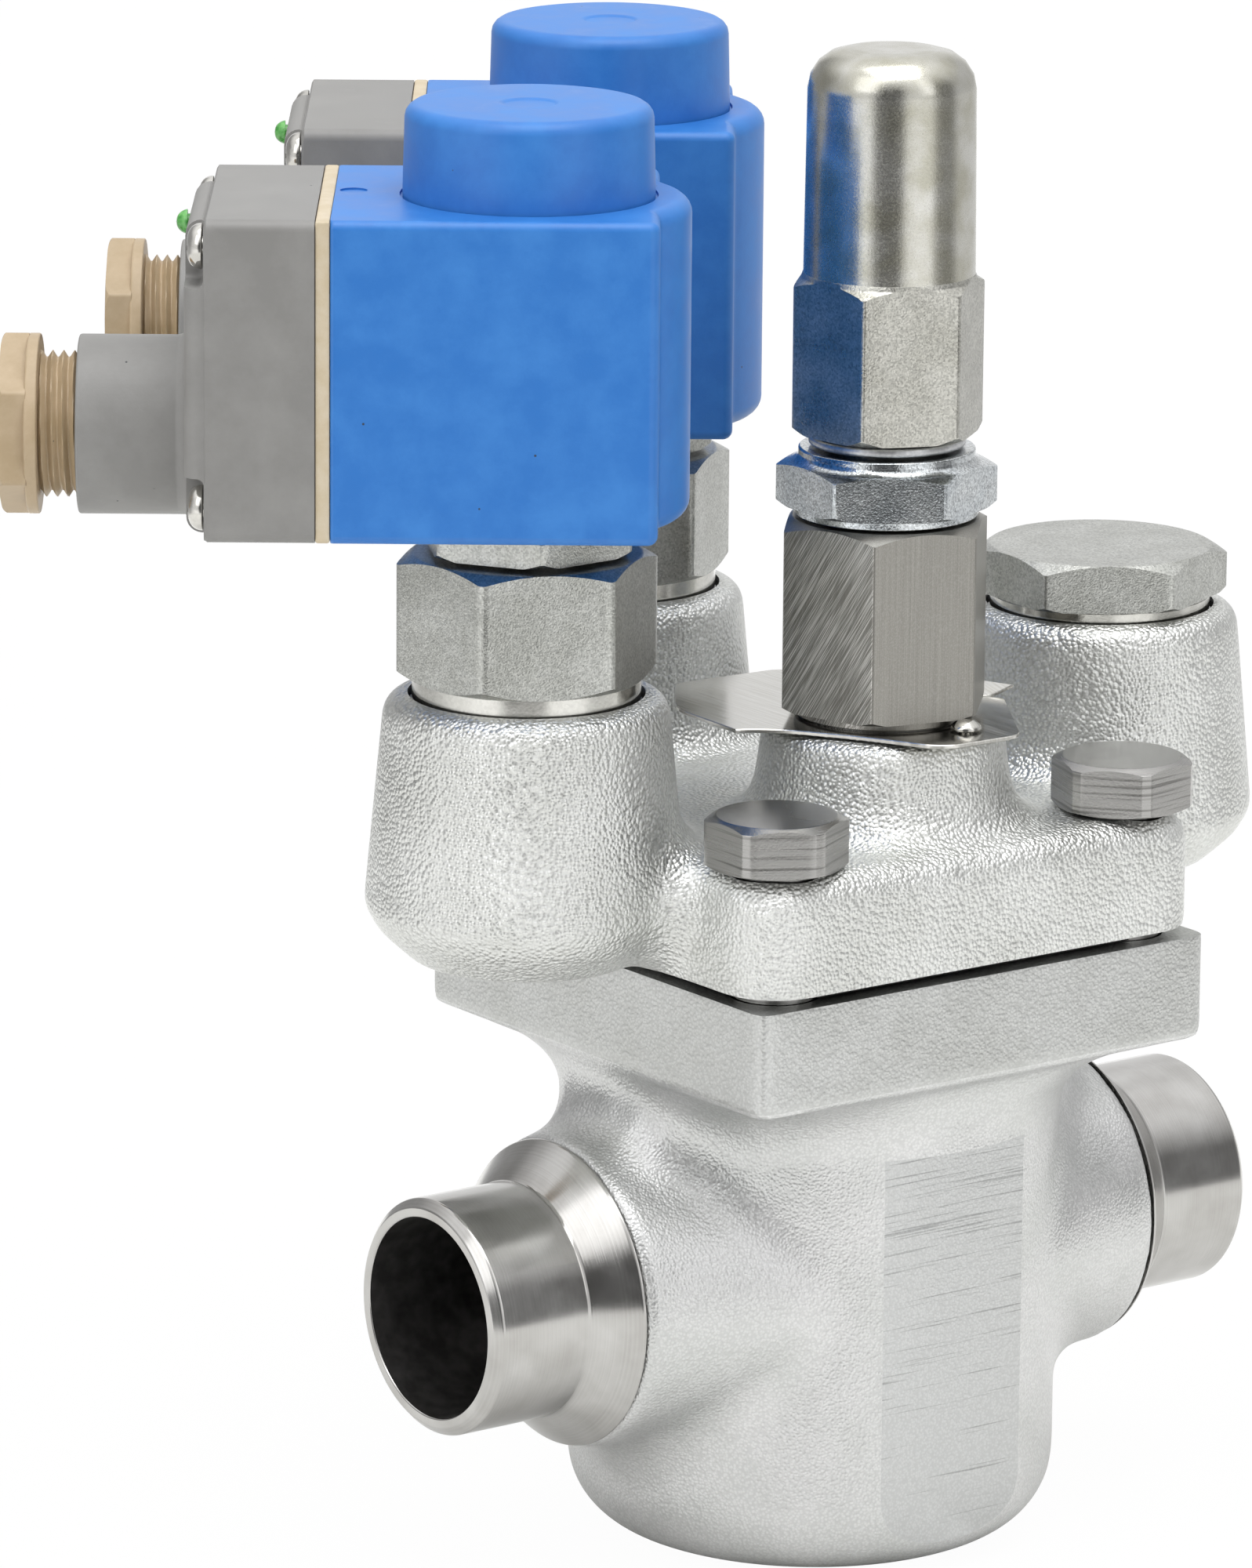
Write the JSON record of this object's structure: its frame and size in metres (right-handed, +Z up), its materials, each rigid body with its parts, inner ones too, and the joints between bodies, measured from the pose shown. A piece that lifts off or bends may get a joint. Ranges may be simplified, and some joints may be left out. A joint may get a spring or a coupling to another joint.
{
  "type": "pilot-operated servo valve",
  "caption": "Flanged weld-in servo valve: piston module under a bolted cover with solenoid pilots, a blanked port and a capped manual spindle",
  "frame": {"origin": "middle of the flat foot, on the body axis", "axes": "+Z up along the body axis, +X along the flow from inlet to outlet, -Y towards the manual spindle"},
  "size_m": [0.1893, 0.1439, 0.216],
  "materials": {
    "casting": "zinc plated, rough cast or forged surface",
    "zinc_steel": "zinc plated, turned",
    "stainless": "bare stainless steel, turned or ground",
    "blue_polymer": "moulded polyamide, satin",
    "grey_polymer": "moulded polyamide, satin",
    "beige_polymer": "moulded polyamide, satin",
    "ivory_rubber": "moulded silicone rubber",
    "green_lens": "clear green moulding",
    "black_rubber": "moulded rubber",
    "fibre": "pressed fibre sheet",
    "ptfe": "machined PTFE",
    "copper": "wound enamelled wire",
    "aluminium": "turned"
  },
  "bodies": {
    "valve": {"valve_body": "casting", "top_cover": "casting", "cover_gasket": "fibre", "insert_cylinder": "stainless", "insert_o_ring": "black_rubber", "seat_o_ring": "black_rubber", "spring_seat": "zinc_steel", "main_spring": "stainless", "spindle_housing": "stainless", "spindle_lock_nut": "zinc_steel", "name_plate": "stainless", "plate_screw": "stainless", "plug_gasket": "aluminium", "blanking_plug": "zinc_steel", "cover_bolt_1": "stainless", "cover_bolt_2": "stainless", "cover_bolt_3": "stainless", "cover_bolt_4": "stainless", "front_pilot_gasket": "aluminium", "front_pilot_housing": "zinc_steel", "front_armature_tube": "stainless", "front_tube_nut": "stainless", "front_armature_spring": "stainless", "back_pilot_gasket": "aluminium", "back_pilot_housing": "zinc_steel", "back_armature_tube": "stainless", "back_tube_nut": "stainless", "back_armature_spring": "stainless"},
    "servo_piston": {"servo_piston": "stainless", "piston_ring": "ptfe", "piston_rod": "stainless", "rod_nut": "zinc_steel", "throttle_cone": "stainless", "valve_disc": "stainless", "valve_disc_seal": "ptfe"},
    "spindle_ring": {"spindle_o_ring": "black_rubber"},
    "spindle": {"manual_spindle": "stainless"},
    "cap_ring": {"cap_gasket": "aluminium"},
    "cap": {"spindle_cap": "zinc_steel"},
    "front_coil": {"front_coil_housing": "blue_polymer", "front_coil_winding": "copper", "front_terminal_gasket": "ivory_rubber", "front_terminal_cover": "grey_polymer", "front_led_lens": "green_lens", "front_gland_seal": "black_rubber"},
    "front_washer": {"front_gland_washer": "aluminium"},
    "front_gland": {"front_gland_nut": "beige_polymer"},
    "front_armature": {"front_armature": "stainless"},
    "back_coil": {"back_coil_housing": "blue_polymer", "back_coil_winding": "copper", "back_terminal_gasket": "ivory_rubber", "back_terminal_cover": "grey_polymer", "back_led_lens": "green_lens", "back_gland_seal": "black_rubber"},
    "back_washer": {"back_gland_washer": "aluminium"},
    "back_gland": {"back_gland_nut": "beige_polymer"},
    "back_armature": {"back_armature": "stainless"}
  },
  "joints": [
    {"name": "piston_travel", "type": "slide", "parent": "valve", "child": "servo_piston", "axis": [0, 0, -1], "range_m": [0, 0.007], "stiffness_N_per_m": 900, "springref_m": -0.012, "deforming": ["main_spring"]},
    {"name": "spindle_slide", "type": "slide", "parent": "valve", "child": "spindle_ring", "axis": [0, 0, -1], "range_m": [0, 0.006]},
    {"name": "spindle_turn", "type": "hinge", "parent": "spindle_ring", "child": "spindle", "pos_m": [0, -0.0149, 0.14], "axis": [0, 0, -1], "range_deg": [0, 1441]},
    {"name": "cap_slide", "type": "slide", "parent": "valve", "child": "cap_ring", "axis": [0, 0, 1], "range_m": [0, 0.006]},
    {"name": "cap_turn", "type": "hinge", "parent": "cap_ring", "child": "cap", "pos_m": [0, -0.0149, 0.19], "axis": [0, 0, 1], "range_deg": [0, 1441]},
    {"name": "front_coil_swivel", "type": "hinge", "parent": "valve", "child": "front_coil", "pos_m": [-0.051, 0, 0.176], "axis": [0, 0, 1], "range_deg": [-15, 120]},
    {"name": "front_armature_lift", "type": "slide", "parent": "valve", "child": "front_armature", "axis": [0, 0, 1], "range_m": [0, 0.002], "stiffness_N_per_m": 400, "springref_m": -0.003, "deforming": ["front_armature_spring"]},
    {"name": "front_gland_slide", "type": "slide", "parent": "front_coil", "child": "front_washer", "axis": [0.8049, -0.5934, 0], "range_m": [0, 0.0048]},
    {"name": "front_gland_turn", "type": "hinge", "parent": "front_washer", "child": "front_gland", "pos_m": [-0.10461, 0.03952, 0.166], "axis": [0.8049, -0.5934, 0], "range_deg": [0, 1153]},
    {"name": "back_coil_swivel", "type": "hinge", "parent": "valve", "child": "back_coil", "pos_m": [0, 0.051, 0.176], "axis": [0, 0, 1], "range_deg": [-120, 15]},
    {"name": "back_armature_lift", "type": "slide", "parent": "valve", "child": "back_armature", "axis": [0, 0, 1], "range_m": [0, 0.002], "stiffness_N_per_m": 400, "springref_m": -0.003, "deforming": ["back_armature_spring"]},
    {"name": "back_gland_slide", "type": "slide", "parent": "back_coil", "child": "back_washer", "axis": [0.8049, -0.5934, 0], "range_m": [0, 0.0048]},
    {"name": "back_gland_turn", "type": "hinge", "parent": "back_washer", "child": "back_gland", "pos_m": [-0.05361, 0.09052, 0.166], "axis": [0.8049, -0.5934, 0], "range_deg": [0, 1153]}
  ],
  "couplings": [
    {"joint": "spindle_turn", "follows": "spindle_slide", "rad_per_m": 4188.8},
    {"joint": "cap_turn", "follows": "cap_slide", "rad_per_m": 4188.8},
    {"joint": "front_gland_turn", "follows": "front_gland_slide", "rad_per_m": 4188.8},
    {"joint": "back_gland_turn", "follows": "back_gland_slide", "rad_per_m": 4188.8}
  ]
}
